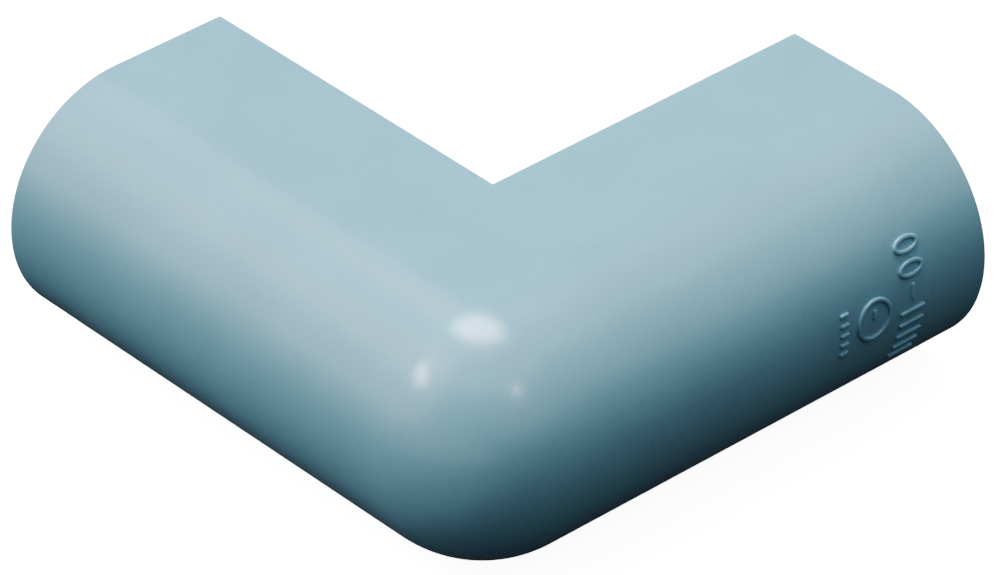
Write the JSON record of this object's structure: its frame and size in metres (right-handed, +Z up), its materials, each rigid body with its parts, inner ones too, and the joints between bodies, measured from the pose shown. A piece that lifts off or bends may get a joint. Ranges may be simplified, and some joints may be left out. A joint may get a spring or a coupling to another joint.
{
  "type": "pvc conduit elbow",
  "caption": "Outside-corner elbow for round PVC conduit: a smooth U-section cover with a spherical corner, snapped over a screwed L-shaped wall base.",
  "frame": {"origin": "centre of the bounding box at the underside of the flat side that the elbow lies on", "axes": "+Z up, square to both legs; +X along the right leg to its end; +Y along the left leg to its end"},
  "size_m": [0.074, 0.0743, 0.03],
  "materials": {
    "cover_pvc": "semi-gloss moulded blue-grey PVC",
    "base_pvc": "satin moulded blue-grey PVC",
    "zinc_steel": "bright zinc plating"
  },
  "bodies": {
    "base": {"wall_base": "base_pvc", "screw_right_upper": "zinc_steel", "screw_right_lower": "zinc_steel", "screw_left_upper": "zinc_steel", "screw_left_lower": "zinc_steel"},
    "cover": {"elbow_cover": "cover_pvc"}
  },
  "joints": [
    {"name": "cover_release", "type": "slide", "parent": "base", "child": "cover", "axis": [-0.7071, -0.7071, 0], "range_m": [0, 0.03]}
  ]
}
